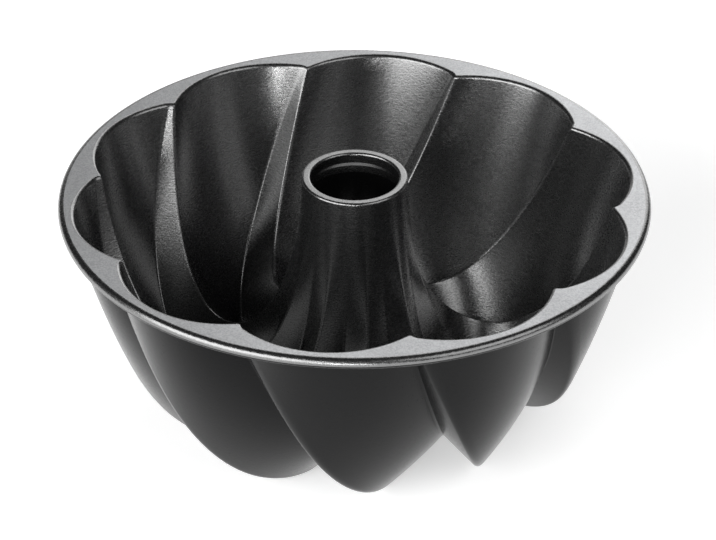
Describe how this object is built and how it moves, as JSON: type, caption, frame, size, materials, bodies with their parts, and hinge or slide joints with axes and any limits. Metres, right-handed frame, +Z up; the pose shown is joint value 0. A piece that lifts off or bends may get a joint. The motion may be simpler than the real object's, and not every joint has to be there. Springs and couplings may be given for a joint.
{
  "type": "brioche mould",
  "caption": "Swirled ring mould for brioche and ring cakes: spiral flutes round an open centre tube, under a flat rim.",
  "frame": {"origin": "centre of the mould's footprint, on the table that its feet stand on", "axes": "+Z up along the centre tube, out of the open side; +X and +Y lie in the table and the camera of the picture looks along +Y"},
  "size_m": [0.25, 0.25, 0.1115],
  "materials": {
    "dark_coat": "dark non-stick coat on cast aluminium, satin sheen with faint upright streaks",
    "rim_coat": "fine-grained grey non-stick coat on cast aluminium, matt"
  },
  "bodies": {
    "root": {"rim_flange": "rim_coat", "fluted_bowl": "dark_coat", "centre_tube": "dark_coat", "tube_lip": "dark_coat"}
  },
  "joints": []
}
